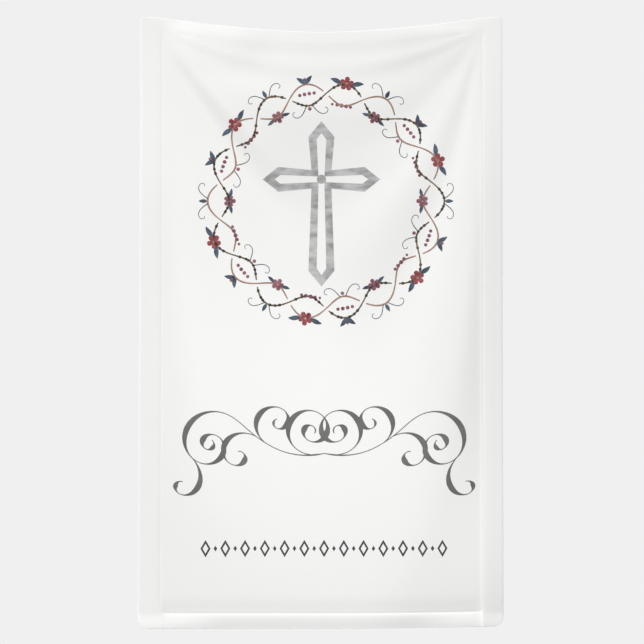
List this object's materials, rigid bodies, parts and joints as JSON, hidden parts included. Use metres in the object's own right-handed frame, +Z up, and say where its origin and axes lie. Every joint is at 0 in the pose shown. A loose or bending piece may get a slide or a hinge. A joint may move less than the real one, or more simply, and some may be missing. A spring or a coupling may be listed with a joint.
{
  "type": "baptism banner",
  "caption": "White hemmed fabric banner hung flat by its top corners, with a printed vine ring, an outlined cross, a pen scroll and a row of lozenges",
  "frame": {"origin": "the middle of the top edge of the hung cloth, in the plane of the front of its two held corners", "axes": "+Z up along the hanging cloth, +X to the right as seen from the front, +Y from the printed front towards the wall"},
  "size_m": [0.907, 0.0923, 1.5251],
  "materials": {
    "cloth": "matt white polyester, plain fine weave",
    "thread": "white polyester sewing thread",
    "print_grey": "mottled grey ink printed into the cloth",
    "print_ink": "dark grey ink printed into the cloth",
    "print_stem": "tan and dark brown ink printed into the cloth",
    "print_leaf": "slate blue ink printed into the cloth",
    "print_flower": "dark red to mauve ink printed into the cloth"
  },
  "bodies": {
    "root": {"banner_cloth": "cloth"}
  },
  "joints": []
}
